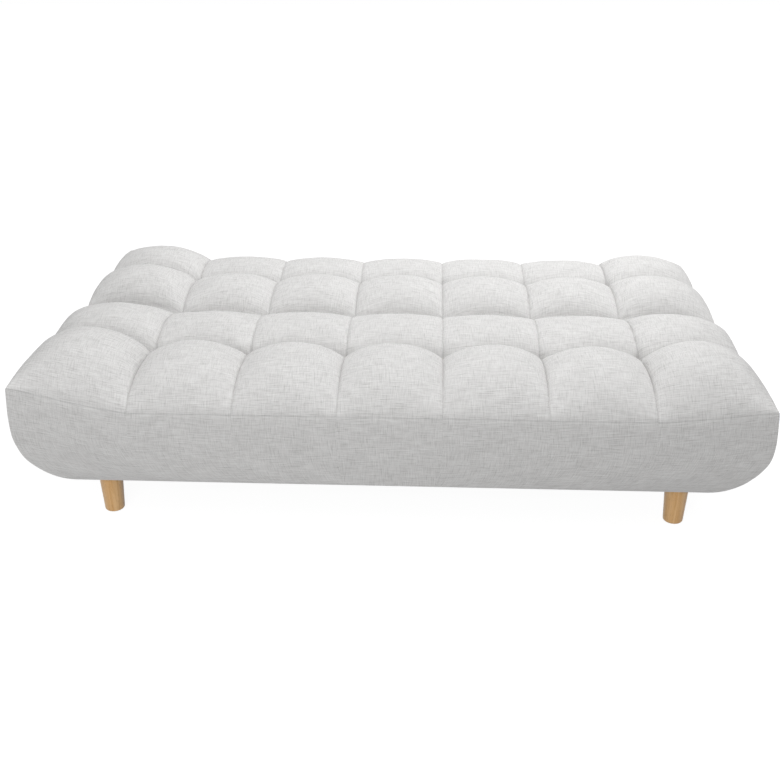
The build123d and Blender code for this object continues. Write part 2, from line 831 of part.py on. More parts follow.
def ratchet_sector():
    """Toothed plate on the seat arm whose two teeth hold the raised backrest."""
    def arc(start, end, reach):
        """Corner at the start angle, with the middle of the arc that leads to the end angle."""
        return (around_pivot(reach, start), around_pivot(reach, (start + end) / 2))

    notch_radius = sector_radius - sector_notch_depth
    plate_face = outline_face(sector_x, [
        arc(sector_first_tooth, sector_notch_start, sector_radius),
        (around_pivot(sector_radius, sector_notch_start), None),
        arc(sector_notch_start, sector_notch_end, notch_radius),
        (around_pivot(notch_radius, sector_notch_end), None),
        arc(sector_notch_end, sector_last_tooth, sector_radius),
        (around_pivot(sector_radius, sector_last_tooth), None),
        ((hinge_y, hinge_z), None),
    ])
    plate = Part() + Solid.extrude(plate_face, Vector(arm_thickness, 0, 0))
    plate += rod_x(sector_x, sector_x + arm_thickness, hinge_y, hinge_z, arm_boss_radius)
    plate -= rod_x(sector_x - overrun, back_arm_x + overrun, hinge_y, hinge_z, pivot_radius + hole_clearance)
    for y, z in rivet_places():
        plate -= rod_x(sector_x - overrun, back_arm_x + overrun, y, z, sector_rivet_radius)
    return plate


def sector_rivets():
    """Flat rivets through the seat arms and their sectors."""
    rivets = []
    for y, z in rivet_places():
        rivets += mirrored_pair(rod_x(seat_arm_x, sector_x + arm_thickness, y, z, sector_rivet_radius))
    return rivets


def pawl_point(station, offset):
    """Point beside the pawl: a station from its pin towards its knuckle, offset away from the pivot."""
    pin = around_pivot(pawl_pin_reach, pawl_pin_angle)
    knuckle = around_pivot(pawl_knuckle_reach, pawl_nose_angle)
    length = math.hypot(knuckle[0] - pin[0], knuckle[1] - pin[1])
    dy = (knuckle[0] - pin[0]) / length
    dz = (knuckle[1] - pin[1]) / length
    return (pin[0] + station * dy - offset * dz, pin[1] + station * dz + offset * dy)


def pawl():
    """Right pawl: a bar on its pin, with a nose that points at the pivot."""
    pin = around_pivot(pawl_pin_reach, pawl_pin_angle)
    knuckle = around_pivot(pawl_knuckle_reach, pawl_nose_angle)
    nose = around_pivot(pawl_nose_reach, pawl_nose_angle)
    x1 = pawl_x + pawl_thickness
    lever = link_bar(pawl_x, x1, pin, knuckle, pawl_bar_width)
    lever += link_bar(pawl_x, x1, knuckle, nose, pawl_nose_width)
    lever += rod_x(pawl_x, x1, pin[0], pin[1], pawl_boss_radius)
    lever -= rod_x(pawl_x - overrun, x1 + overrun, pin[0], pin[1], pawl_pin_radius + hole_clearance)
    return lever


def stop_pin_place():
    """Centre of the stop pin, just clear of the raised pawl."""
    return pawl_point(stop_pin_station, pawl_bar_width / 2 + fit + stop_pin_radius)


def spring_eye_place():
    """Centre of the leaf spring's eye."""
    return pawl_point(spring_eye_station, spring_eye_offset)


def back_arm():
    """Moving half of the right hinge: from the pivot to the backrest's side rail, and behind the pawl."""
    pivot = (hinge_y, hinge_z)
    x0 = back_arm_x
    x1 = back_arm_x + arm_thickness
    arm = link_bar(x0, x1, pivot, back_arm_heel(), 2 * arm_boss_radius)
    arm += link_bar(x0, x1, back_arm_heel(), back_arm_toe(), arm_width)
    arm += link_bar(x0, x1, pawl_point(0, 0), pawl_point(stop_pin_station, 0), pawl_guard_width)
    arm += link_bar(x0, x1, pawl_point(0, 0), back_arm_toe(), arm_width)
    arm -= rod_x(x0 - overrun, x1 + overrun, hinge_y, hinge_z, pivot_radius + hole_clearance + bush_wall)
    pin = pawl_point(0, 0)
    arm -= rod_x(x0 - overrun, x1 + overrun, pin[0], pin[1], pawl_pin_radius)
    stop = stop_pin_place()
    arm -= rod_x(x0 - overrun, x1 + overrun, stop[0], stop[1], stop_pin_radius)
    eye = spring_eye_place()
    arm -= rod_x(x0 - overrun, x1 + overrun, eye[0], eye[1], spring_rivet_radius)
    for y, z in back_arm_screw_places():
        arm -= rod_x(x0 - overrun, x1 + overrun, y, z, arm_screw_radius)
    return arm


def arm_bushes():
    """Bushes in the back arms that turn on the pivot bolts."""
    outer = pivot_radius + hole_clearance + bush_wall
    bush = rod_x(back_arm_x, back_arm_x + arm_thickness, hinge_y, hinge_z, outer)
    bush -= rod_x(back_arm_x - overrun, back_arm_x + overrun, hinge_y, hinge_z, pivot_radius + hole_clearance)
    return mirrored_pair(bush)


def pivot_bolts():
    """Shoulder bolts that the backrest turns on, with their heads inside the seat arms."""
    bolt = rod_x(seat_arm_x - pivot_head_thickness, seat_arm_x, hinge_y, hinge_z, pivot_head_radius)
    bolt += rod_x(seat_arm_x, pivot_end_x, hinge_y, hinge_z, pivot_radius)
    return mirrored_pair(bolt)


def pivot_washers():
    """Washers between the back arms and the pivot nuts."""
    washer = rod_x(pivot_washer_x, pivot_nut_x, hinge_y, hinge_z, arm_boss_radius - bush_wall)
    washer -= rod_x(pivot_washer_x - overrun, pivot_nut_x + overrun, hinge_y, hinge_z,
                    pivot_radius + hole_clearance / 2)
    return mirrored_pair(washer)


def pivot_nuts():
    """Lock nuts on the outer ends of the pivot bolts."""
    return mirrored_pair(hex_nut(pivot_nut_x, hinge_y, hinge_z, pivot_radius))


def arm_screws(places, plate_x):
    """Wood screws through an arm whose outer face is at plate_x."""
    screws = []
    for y, z in places:
        screw = rod_x(plate_x - arm_screw_length, plate_x, y, z, arm_screw_radius)
        screw += rod_x(plate_x, plate_x + screw_head_thickness, y, z, screw_head_ratio_share * arm_screw_radius)
        screws += mirrored_pair(screw)
    return screws


def pawl_pins():
    """Headed pins through the back arms that the pawls turn on."""
    y, z = pawl_point(0, 0)
    outer_x = back_arm_x + arm_thickness
    pin = rod_x(pawl_x - running_gap, outer_x, y, z, pawl_pin_radius)
    pin += rod_x(pawl_x - running_gap - pin_head_thickness, pawl_x - running_gap, y, z, pin_head_radius)
    pin += rod_x(outer_x, outer_x + pin_head_thickness, y, z, pin_head_radius)
    return mirrored_pair(pin)


def pawl_stop_pins():
    """Pins in the back arms that the raised pawls lie on."""
    y, z = stop_pin_place()
    return mirrored_pair(rod_x(pawl_x, back_arm_x + arm_thickness, y, z, stop_pin_radius))


def pawl_springs():
    """Leaf springs that press the pawls towards the sectors, each with an eye at its fixed end."""
    tip = pawl_point(spring_tip_station, pawl_bar_width / 2 + fit + spring_strip_thickness / 2)
    eye = spring_eye_place()
    x1 = pawl_x + pawl_thickness + running_gap
    leaf = link_bar(pawl_x, x1, eye, tip, spring_strip_thickness)
    leaf += rod_x(pawl_x, x1, eye[0], eye[1], spring_eye_radius)
    leaf -= rod_x(pawl_x - overrun, x1 + overrun, eye[0], eye[1], spring_rivet_radius)
    return mirrored_pair(leaf)


def spring_rivets():
    """Rivets that hold the leaf springs to the back arms."""
    y, z = spring_eye_place()
    return mirrored_pair(rod_x(pawl_x, back_arm_x + arm_thickness, y, z, spring_rivet_radius))


def left(piece):
    """Mirror image of a right-hand piece."""
    return mirror(piece, about=Plane.YZ)


def all_nodes():
    """Every node of the sofa bed by name, as one solid or a list of alike solids."""
    seat_springs_at = seat_spring_ends()
    back_springs_at = back_spring_ends()
    back_inner_y = back_near_y + cover_wall + fit
    back_outer_y = back_far_y - cover_wall - fit
    seat_foam_z = seat_frame_top_z + spring_space + fit
    back_foam_z = back_frame_top_z + spring_space + fit
    nodes = {
        "seat_cover": seat_cover(),
        "seat_foam": seat_foam(),
        "seat_end_foams": seat_end_foam_space(0),
        "seat_tuft_ties": tuft_ties(seat_tuft_y, seat_foam_z),
        "seat_front_rail": seat_front_rail(),
        "seat_rear_rail": seat_rear_rail(),
        "seat_side_rails": mirrored_pair(seat_side_rail()),
        "seat_cross_rails": seat_cross_rails(),
        "seat_corner_blocks": seat_corner_blocks(),
        "seat_springs": zigzag_springs(*seat_springs_at, seat_frame_top_z),
        "seat_spring_clips": spring_clips(*seat_springs_at, seat_frame_top_z),
        "seat_dust_cover": seat_dust_cover(),
        "left_support_rail": left(support_rail()),
        "right_support_rail": support_rail(),
        "support_rail_caps": support_caps(),
        "support_rail_bolts": rail_bolts(),
        "support_rail_nuts": rail_nuts(),
        "backrest_bumpers": bumpers(),
        "leg_plates": leg_plates(),
        "leg_bolts": leg_bolts(),
        "leg_plate_screws": leg_plate_screws(),
        "leg_pads": leg_pads(),
        "left_seat_arm": left(seat_arm()),
        "right_seat_arm": seat_arm(),
        "left_ratchet_sector": left(ratchet_sector()),
        "right_ratchet_sector": ratchet_sector(),
        "sector_rivets": sector_rivets(),
        "seat_arm_screws": arm_screws(seat_arm_screw_places(), seat_arm_x + arm_thickness),
        "pivot_bolts": pivot_bolts(),
        "pivot_washers": pivot_washers(),
        "pivot_nuts": pivot_nuts(),
        "back_cover": back_cover(),
        "back_foam": back_foam(),
        "back_end_foams": back_end_foam_space(0),
        "back_tuft_ties": tuft_ties(back_tuft_y, back_foam_z),
        "back_near_rail": back_cross_beam(back_inner_y),
        "back_far_rail": back_cross_beam(back_outer_y - rail_thickness),
        "back_side_rails": mirrored_pair(back_side_rail()),
        "back_cross_rails": back_cross_rails(),
        "back_rest_blocks": back_rest_blocks(),
        "back_springs": zigzag_springs(*back_springs_at, back_frame_top_z),
        "back_spring_clips": spring_clips(*back_springs_at, back_frame_top_z),
        "back_dust_cover": back_dust_cover(),
        "left_back_arm": left(back_arm()),
        "right_back_arm": back_arm(),
        "back_arm_screws": arm_screws(back_arm_screw_places(), back_arm_x + arm_thickness),
        "arm_bushes": arm_bushes(),
        "pawl_pins": pawl_pins(),
        "pawl_stop_pins": pawl_stop_pins(),
        "pawl_springs": pawl_springs(),
        "spring_rivets": spring_rivets(),
        "left_pawl": left(pawl()),
        "right_pawl": pawl(),
    }
    for name, (x, y) in leg_places().items():
        nodes[name] = leg(x, y)
    return nodes


def solids_of(node):
    """The separate solids of a node."""
    pieces = node if isinstance(node, list) else [node]
    return [solid for piece in pieces for solid in piece.solids()]


os.makedirs("parts", exist_ok=True)
for node_name, node in all_nodes().items():
    export_step(Compound(children=solids_of(node)), f"parts/{node_name}.step")
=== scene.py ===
import json
import math

import bmesh
import bpy
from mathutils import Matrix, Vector, noise


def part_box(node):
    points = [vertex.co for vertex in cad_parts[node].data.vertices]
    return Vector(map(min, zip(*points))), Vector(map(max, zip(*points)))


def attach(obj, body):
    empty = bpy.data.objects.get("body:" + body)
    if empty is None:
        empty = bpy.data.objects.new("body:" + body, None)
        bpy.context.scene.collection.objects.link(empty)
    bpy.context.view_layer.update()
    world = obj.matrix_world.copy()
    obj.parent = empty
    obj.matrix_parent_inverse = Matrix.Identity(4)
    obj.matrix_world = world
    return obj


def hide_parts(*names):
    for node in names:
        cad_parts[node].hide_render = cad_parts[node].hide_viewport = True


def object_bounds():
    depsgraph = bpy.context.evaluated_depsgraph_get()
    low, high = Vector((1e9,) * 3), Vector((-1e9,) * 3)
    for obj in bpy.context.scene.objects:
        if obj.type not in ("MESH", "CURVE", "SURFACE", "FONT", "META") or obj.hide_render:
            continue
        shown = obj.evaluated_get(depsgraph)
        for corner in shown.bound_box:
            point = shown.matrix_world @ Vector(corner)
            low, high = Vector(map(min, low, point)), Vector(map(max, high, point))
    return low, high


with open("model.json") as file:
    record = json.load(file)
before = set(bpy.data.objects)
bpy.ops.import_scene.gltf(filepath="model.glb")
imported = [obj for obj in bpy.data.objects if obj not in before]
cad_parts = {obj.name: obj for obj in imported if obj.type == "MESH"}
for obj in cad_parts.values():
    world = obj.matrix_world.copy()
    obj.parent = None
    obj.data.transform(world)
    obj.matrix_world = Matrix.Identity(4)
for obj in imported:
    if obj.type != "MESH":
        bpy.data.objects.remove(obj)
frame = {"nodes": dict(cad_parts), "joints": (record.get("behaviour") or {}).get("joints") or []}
cad_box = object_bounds()

# Camera: the photograph's viewpoint, a little above the bed's front edge and right of its middle.
# The place and angles come from the grid of tufts in the photograph.
photo_pixels = 780
sensor_width = 36.0
focal_pixels = 1027.0
camera_x, camera_y, camera_z = 0.0961, -2.6657, 1.3696
camera_pitch, camera_yaw, camera_roll = 24.97, -2.51, 0.07
bpy.ops.object.select_all(action="DESELECT")
bpy.ops.object.camera_add(location=(camera_x, camera_y, camera_z))
camera = bpy.context.object
camera.name = "photo_camera"
camera.rotation_euler = (
    math.radians(90 - camera_pitch),
    math.radians(camera_roll),
    math.radians(-camera_yaw),
)
camera.data.sensor_width = sensor_width
camera.data.lens = sensor_width * focal_pixels / photo_pixels
bpy.context.scene.camera = camera


def srgb(code, alpha=1.0):
    """Linear colour from a hex value such as C8C6C2."""
    channels = [int(code[i:i + 2], 16) / 255 for i in (0, 2, 4)]
    linear = [c / 12.92 if c <= 0.04045 else ((c + 0.055) / 1.055) ** 2.4 for c in channels]
    return (*linear, alpha)


def new_finish(name):
    """Material with a shader and an output, and its node tree."""
    finish = bpy.data.materials.new(name)
    finish.use_nodes = True
    tree = finish.node_tree
    return finish, tree, tree.nodes["Principled BSDF"]


def add_node(tree, kind, settings=(), inputs=(), links=()):
    """Node of a kind, with its settings, its input values and what feeds its inputs."""
    node = tree.nodes.new(kind)
    for key, value in dict(settings).items():
        setattr(node, key, value)
    for key, value in dict(inputs).items():
        node.inputs[key].default_value = value
    for key, source in dict(links).items():
        tree.links.new(source, node.inputs[key])
    return node


# Upholstery cloth: a very pale grey polyester-linen weave. Thick and thin slub yarns run both ways,
# which the eye sees as short pale and dark dashes. The yarns are drawn as coarse as they need to show.
cloth_light = "F8F8F7"
cloth_mid = "E3E2E1"
cloth_dark = "BAB9B7"
yarn_spacing = 0.0016
slub_thickness = 0.0013
weft_slub_length = 0.045
warp_slub_length = 0.0315
slub_turn = 0.35
slub_contrast = (0.32, 0.44, 0.56, 0.68)
warp_share = 0.45
patch_length = 0.09
patch_width = 0.06
patch_shades = (0.98, 1.01)
# Painted shade: the cloth's colour darkens to a share of itself within a few millimetres of each sewn
# line.
painted_shadow_width = 0.003
painted_crease_shadow = 0.84
yarn_relief = 0.12
weave_depth = 0.0012


def slub_layer(tree, uv, along, across, start, turn=0.0):
    """Noise stretched into dashes of a real length and width, from a start of its own."""
    place = add_node(tree, "ShaderNodeMapping", inputs={
        "Location": (*start, 0), "Rotation": (0, 0, turn), "Scale": (1 / along, 1 / across, 1),
    }, links={"Vector": uv})
    return add_node(tree, "ShaderNodeTexNoise", {"noise_dimensions": "2D"},
                    {"Scale": 1.0, "Detail": 2.5, "Roughness": 0.55}, {"Vector": place.outputs[0]})


cloth, tree, shader = new_finish("slub_linen_weave")
uv = add_node(tree, "ShaderNodeUVMap", {"uv_map": "weave"}).outputs[0]
weft_slub = slub_layer(tree, uv, weft_slub_length, slub_thickness, (3.1, 2.17), slub_turn)
warp_slub = slub_layer(tree, uv, slub_thickness, warp_slub_length, (7.7, 5.39), slub_turn)
soft_patch = slub_layer(tree, uv, patch_length, patch_width, (1.3, 0.91))
weft_tone = add_node(tree, "ShaderNodeValToRGB", links={"Fac": weft_slub.outputs["Fac"]})
warp_tone = add_node(tree, "ShaderNodeValToRGB", links={"Fac": warp_slub.outputs["Fac"]})
for ramp in (weft_tone.color_ramp, warp_tone.color_ramp):
    ramp.elements[0].position = slub_contrast[0]
    ramp.elements[0].color = srgb(cloth_dark)
    ramp.elements[1].position = slub_contrast[-1]
    ramp.elements[1].color = srgb(cloth_light)
    for place in slub_contrast[1:-1]:
        ramp.elements.new(place).color = srgb(cloth_mid)
weave_tone = add_node(tree, "ShaderNodeMix", {"data_type": "RGBA"}, {"Factor": warp_share},
                      {"A": weft_tone.outputs[0], "B": warp_tone.outputs[0]})
patch_tone = add_node(tree, "ShaderNodeMapRange", inputs={
    "From Min": 0.3, "From Max": 0.7, "To Min": patch_shades[0], "To Max": patch_shades[1],
}, links={"Value": soft_patch.outputs["Fac"]})
# Painted shade along the seams: darker towards each sewn line, for the shadow in the stitched folds.
sewn_line = add_node(tree, "ShaderNodeAttribute", {"attribute_name": "sewn"})
painted_crease_shadow_tone = add_node(tree, "ShaderNodeMapRange", inputs={
    "From Min": 0.0, "From Max": painted_shadow_width, "To Min": painted_crease_shadow, "To Max": 1.0,
}, links={"Value": sewn_line.outputs["Fac"]})
tones = add_node(tree, "ShaderNodeMath", {"operation": "MULTIPLY"},
                 links={0: patch_tone.outputs[0], 1: painted_crease_shadow_tone.outputs[0]})
cloth_colour = add_node(tree, "ShaderNodeVectorMath", {"operation": "SCALE"},
                        links={0: weave_tone.outputs["Result"], "Scale": tones.outputs[0]})
tree.links.new(cloth_colour.outputs[0], shader.inputs["Base Color"])
# Blender's Wave texture has 20 / (2 pi) bands in a unit.
wave_scale = 2 * math.pi / (20 * yarn_spacing)
yarn_rows = add_node(tree, "ShaderNodeTexWave", {"wave_type": "BANDS", "bands_direction": "Y"},
                     {"Scale": wave_scale, "Distortion": 2.0, "Detail": 1.0}, {"Vector": uv})
yarn_columns = add_node(tree, "ShaderNodeTexWave", {"wave_type": "BANDS", "bands_direction": "X"},
                        {"Scale": wave_scale, "Distortion": 2.0, "Detail": 1.0}, {"Vector": uv})
yarn_grid = add_node(tree, "ShaderNodeMath", {"operation": "ADD"},
                     links={0: yarn_rows.outputs["Fac"], 1: yarn_columns.outputs["Fac"]})
slub_sum = add_node(tree, "ShaderNodeMath", {"operation": "ADD"},
                    links={0: weft_slub.outputs["Fac"], 1: warp_slub.outputs["Fac"]})
relief = add_node(tree, "ShaderNodeMath", {"operation": "MULTIPLY_ADD"}, {1: yarn_relief},
                  {0: yarn_grid.outputs[0], 2: slub_sum.outputs[0]})
cloth_bump = add_node(tree, "ShaderNodeBump", inputs={"Strength": 0.55, "Distance": weave_depth},
                      links={"Height": relief.outputs[0]})
tree.links.new(cloth_bump.outputs[0], shader.inputs["Normal"])
shader.inputs["Roughness"].default_value = 0.92
shader.inputs["Specular IOR Level"].default_value = 0.25
shader.inputs["Sheen Weight"].default_value = 0.12
shader.inputs["Sheen Roughness"].default_value = 0.5

# Seat and backrest covers: quilted cloth over fibre and foam, sewn into seven columns and pulled
# down by hidden ties between two rows. A boxed band runs round below the seam, the ends are bowls
# with a sharp corner, and the cloth is pulled tight over the filling, so it swells between its seams.
seat_low, seat_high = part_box("seat_cover")
back_low, back_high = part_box("back_cover")
half_width = (cad_box[1][0] - cad_box[0][0]) / 2
wing_length = 0.270
inner_columns = 5
last_seam = half_width - wing_length
column_pitch = 2 * last_seam / inner_columns
band_height = 0.190
band_draw_in = 0.016
cover_margin = 0.0005
end_tilt = 0.014
end_draw_in = 0.005
end_bulge = 0.007
left_reach = 0.008
stitch_reach = 0.001
weave_shift = 0.37
recess_rise = 0.0065
recess_lip = 0.001
seam_crowding = 0.75
swell_power = 2.0
swell_fullness = 0.76
wing_swell_lead = 0.92
tip_ease = 1.2
row_curve = (0.72, 2.6)
last_row_curve = (0.60, 2.0)
row_fall = 0.8
band_curve = 1.7
corner_sharpness = 12
column_steps = 28
wing_steps = 30
side_steps = (10, 18)
margin_steps = 3
recess_steps = 12
seam_z = seat_low[2] + band_height
# A profile gives heights above the seam: at the outer edge, the first row's crest, the tuft, the
# second row's crest and the shoulder at the split. The crests' places are shares of their rows.
seat_panel = {
    "cover": "seat_cover", "dust": "seat_dust_cover", "body": "base", "inwards": 1,
    "seam_y": seat_low[1] + cover_margin, "split_y": seat_high[1] - cover_margin,
    "tuft_y": seat_low[1] + 0.2856, "bottom_z": seat_low[2], "end_radius": 0.130,
    "lean": -math.tan(math.radians(31)), "steps": (36, 32, 8),
    "valley": (0.000, 0.056, 0.026, 0.072, 0.032), "valley_crests": (0.52, 0.54),
    "puff": (0.000, 0.104, 0.033, 0.089, 0.040), "puff_crests": (0.60, 0.52),
    "wing": (0.010, 0.131, 0.052, 0.108, 0.048), "wing_crests": (0.58, 0.52),
    "tip": (0.046, 0.056, 0.036, 0.052, 0.034),
}
back_panel = {
    "cover": "back_cover", "dust": "back_dust_cover", "body": "backrest", "inwards": -1,
    "seam_y": back_high[1] - cover_margin, "split_y": back_low[1] + cover_margin,
    "tuft_y": back_low[1] + 0.260, "bottom_z": back_low[2], "end_radius": 0.104,
    "lean": math.tan(math.radians(47)), "steps": (32, 34, 8),
    "valley": (0.000, 0.060, 0.028, 0.060, 0.022), "valley_crests": (0.55, 0.42),
    "puff": (0.000, 0.078, 0.033, 0.095, 0.034), "puff_crests": (0.56, 0.44),
    "wing": (0.010, 0.104, 0.052, 0.110, 0.038), "wing_crests": (0.55, 0.44),
    "tip": (0.046, 0.052, 0.036, 0.052, 0.026),
}


def spaced(count, start, end, last=False):
    """Places from start to end, closer together near both, where the seams are."""
    places = []
    for i in range(count + last):
        share = i / count
        eased = (1 - seam_crowding) * share + seam_crowding * (1 - math.cos(math.pi * share)) / 2
        places.append(start + (end - start) * eased)
    return places


def swell(share):
    """Rise of stuffed cloth between two seams, from 0 at them to 1 in the middle."""
    return max(0.0, 1 - abs(2 * share - 1) ** swell_power) ** swell_fullness


def row_height(share, start, crest, end, crest_share, curve):
    """Height along a row of cells, from its start over its crest to its end."""
    rise_power, fall_bend = curve
    if share < crest_share:
        return start + (crest - start) * (1 - (1 - share / crest_share) ** 2) ** rise_power
    fall = (share - crest_share) / (1 - crest_share)
    return end + (crest - end) * max(0.0, 1 - fall ** fall_bend) ** row_fall


def mixed(first, second, share):
    """Values between two lists of them."""
    return [a + (b - a) * share for a, b in zip(first, second)]


def cross_section(panel, x):
    """The profile at x: its five heights above the seam, and the places of its two crests."""
    if abs(x) < last_seam:
        between = swell(((x + last_seam) / column_pitch) % 1.0)
        return (mixed(panel["valley"], panel["puff"], between),
                mixed(panel["valley_crests"], panel["puff_crests"], between))
    share = (abs(x) - last_seam) / wing_length
    tip = [height - math.copysign(end_tilt, x) for height in panel["tip"]]
    rising = mixed(panel["valley"], tip, share ** tip_ease)
    full = [height - math.copysign(end_tilt * share, x) for height in panel["wing"]]
    full[0] = rising[0]
    between = swell(share ** wing_swell_lead)
    return (mixed(rising, full, between),
            mixed(panel["valley_crests"], panel["wing_crests"], between))


def top_line(panel, x):
    """Points (y, z) of the section at x, over the top from the band's seam to the split."""
    (seam_rise, crest_a, tuft, crest_b, shoulder), crests = cross_section(panel, x)
    shoulder_y = panel["split_y"] + shoulder * panel["lean"]
    points = []
    for share in spaced(panel["steps"][0], 0, 1):
        points.append((panel["seam_y"] + (panel["tuft_y"] - panel["seam_y"]) * share,
                       row_height(share, seam_rise, crest_a, tuft, crests[0], row_curve)))
    for share in spaced(panel["steps"][1], 0, 1):
        points.append((panel["tuft_y"] + (shoulder_y - panel["tuft_y"]) * share,
                       row_height(share, tuft, crest_b, shoulder, crests[1], last_row_curve)))
    for share in spaced(panel["steps"][2], 0, 1, last=True):
        points.append((shoulder_y + (panel["split_y"] - shoulder_y) * share, shoulder * (1 - share)))
    return [(y, seam_z + z) for y, z in points]


def side_line(panel, top_z):
    """Points (inset, z) down an end's outline, straight and then round to the underside."""
    radius = panel["end_radius"]
    low = panel["bottom_z"]
    points = [(0.0, z) for z in spaced(side_steps[0], top_z, low + radius)]
    for step in range(side_steps[1] + 1):
        turn = math.pi / 2 * step / side_steps[1]
        points.append((radius * (1 - math.cos(turn)), low + radius * (1 - math.sin(turn))))
    return [(inset - end_bulge * math.sin(math.pi * (top_z - z) / (top_z - low)), z)
            for inset, z in points[1:]]


def mixed_line(start, end, count):
    """Evenly spread values from start to end, both included."""
    return [start + (end - start) * i / count for i in range(count + 1)]


def under_line(panel, rear, front, x):
    """Points across the underside from the rear wall to the band, let in where the dust cloth goes."""
    low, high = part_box(panel["dust"])
    near_rear, near_front = (high[1], low[1]) if panel["inwards"] > 0 else (low[1], high[1])
    inside = abs(x) <= high[0]
    rise = recess_rise if inside else 0.0
    step_y = recess_lip * panel["inwards"]
    points = [(y, 0.0) for y in mixed_line(rear, near_rear + step_y, margin_steps)]
    points += [(y, rise) for y in mixed_line(near_rear, near_front, recess_steps)]
    points += [(y, 0.0) for y in mixed_line(near_front - step_y, front, margin_steps)]
    return [(x, y, panel["bottom_z"] + z) for y, z in points[1:-1]]


def section_ring(panel, x):
    """Closed ring of points round the cover at x: top, rear wall, underside and band."""
    top = top_line(panel, x)
    share = x / half_width
    rear = [((half_width - inset) * share, panel["split_y"], z)
            for inset, z in side_line(panel, top[-1][1])]
    front = []
    for inset, z in side_line(panel, top[0][1]):
        fall = (top[0][1] - z) / (top[0][1] - panel["bottom_z"])
        y = panel["seam_y"] + panel["inwards"] * band_draw_in * fall ** band_curve
        front.append(((half_width - inset) * share, y, z))
    under = under_line(panel, rear[-1][1], front[-1][1], rear[-1][0])
    return [Vector((x, y, z)) for y, z in top] + [Vector(p) for p in rear + under + front[::-1]]


def lengths_along(points):
    """Length along a line of points, from its first."""
    lengths = [0.0]
    for a, b in zip(points, points[1:]):
        lengths.append(lengths[-1] + (b - a).length)
    return lengths


def cover_mesh(panel):
    """Mesh of a closed cover, with its weave map in metres, how far each point is from a sewn line, and
    the points that stitches, glue and the frame hold."""
    xs = spaced(wing_steps, -half_width, -last_seam)
    for column in range(inner_columns):
        start = -last_seam + column * column_pitch
        xs += spaced(column_steps, start, start + column_pitch)
    xs += spaced(wing_steps, last_seam, half_width, last=True)
    cells = [0] * wing_steps
    for column in range(inner_columns):
        cells += [column + 1] * column_steps
    cells += [inner_columns + 1] * wing_steps
    cell_middles = [cells.index(cell) + cells.count(cell) // 2 for cell in range(inner_columns + 2)]
    rings = [section_ring(panel, x) for x in xs]
    top_count = sum(panel["steps"]) + 1
    row_ends = sum(panel["steps"][:2])
    size = len(rings[0])
    for x, ring in zip(xs, rings):
        for point in ring:
            share = (point.y - panel["seam_y"]) / (panel["split_y"] - panel["seam_y"])
            drawn = end_draw_in * math.sin(math.pi * min(1.0, max(0.0, share)))
            drawn *= (abs(x) / half_width) ** corner_sharpness
            point.x -= math.copysign(drawn, x)
            point.x -= left_reach * max(0.0, (-x - last_seam) / wing_length) ** 2
    mesh = bmesh.new()
    sewn = mesh.verts.layers.float.new("sewn")
    held = mesh.verts.layers.float.new("held")
    weave = mesh.loops.layers.uv.new("weave")
    rounds = [lengths_along(ring + ring[:1]) for ring in rings]
    across = [lengths_along([ring[j] for ring in rings]) for j in range(size)]
    grid = []
    for x, ring, lengths in zip(xs, rings, rounds):
        to_column = min(abs(x - (-last_seam + column_pitch * i)) for i in range(inner_columns + 1))
        to_end = half_width - abs(x)
        row = []
        for j, point in enumerate(ring):
            vertex = mesh.verts.new(point)
            to_band = min(lengths[j], lengths[size] - lengths[j])
            on_top = j < top_count
            vertex[sewn] = min(to_column, to_end, to_band) if on_top else min(to_band, to_end + to_band)
            on_row = j in (0, panel["steps"][0]) or j >= row_ends
            vertex[held] = 1.0 if not on_top or on_row or min(to_column, to_end) < stitch_reach else 0.0
            row.append(vertex)
        grid.append(row)
    row_starts = (0, panel["steps"][0], panel["steps"][0] + panel["steps"][1])
    last_back = size - sum(side_steps) - margin_steps - recess_steps // 2
    for i, cell in enumerate(cells):
        for j in range(size):
            start = size if j >= last_back else max(s for s in row_starts if s <= j)
            corners = ((i, j), (i, j + 1), (i + 1, j + 1), (i + 1, j))
            face = mesh.faces.new([grid[a][b % size] for a, b in corners])
            for loop, (a, b) in zip(face.loops, corners):
                line = across[b % size]
                loop[weave].uv = (cell * weave_shift + line[a] - line[cell_middles[cell]],
                                  start % size * weave_shift + rounds[a][b] - rounds[a][start])
    for ring in (grid[0], grid[-1]):
        close_end(mesh, ring, top_count, sewn, held, weave)
    bmesh.ops.recalc_face_normals(mesh, faces=mesh.faces)
    return mesh


def close_end(mesh, ring, top_count, sewn, held, weave):
    """Wall of a cover's end, from its sewn top edge down to the underside."""
    side_count = sum(side_steps)
    top = ring[:top_count]
    rear = ring[top_count:top_count + side_count]
    front = ring[-side_count:][::-1]
    rows = [top]
    for level in range(side_count - 1):
        low_share = (level + 1) / side_count
        row = [front[level]]
        for i in range(1, top_count - 1):
            share = i / (top_count - 1)
            y = front[level].co.y + (rear[level].co.y - front[level].co.y) * share
            flat_top = top[0].co.z + (top[-1].co.z - top[0].co.z) * share
            z = front[level].co.z + (rear[level].co.z - front[level].co.z) * share
            z += (top[i].co.z - flat_top) * (1 - low_share)
            drawn = (top[i].co.x - top[0].co.x) * (1 - low_share)
            vertex = mesh.verts.new((front[level].co.x + drawn, y, z))
            vertex[sewn] = top[i].co.z - z
            vertex[held] = 1.0
            row.append(vertex)
        row.append(rear[level])
        rows.append(row)
    faces = []
    for upper, lower in zip(rows, rows[1:]):
        for i in range(top_count - 1):
            faces.append(mesh.faces.new((upper[i], upper[i + 1], lower[i + 1], lower[i])))
    under = ring[top_count + side_count:-side_count]
    faces.append(mesh.faces.new(rows[-1] + [rear[-1]] + under + [front[-1]]))
    for face in faces:
        for loop in face.loops:
            loop[weave].uv = (loop.vert.co.y, loop.vert.co.z)


# The cover's cloth is stretched over filling that presses it outwards between the seams. What is
# sewn, glued or stapled stays where it is: the seams, the band, the ends and the underside.
cloth_frames = 20
cloth_quality = 5
cloth_mass = 0.3
cloth_pressure = 2.2
cloth_strain = 40
cloth_shear = 10
cloth_bending = 0.8
greatest_swell = 0.010


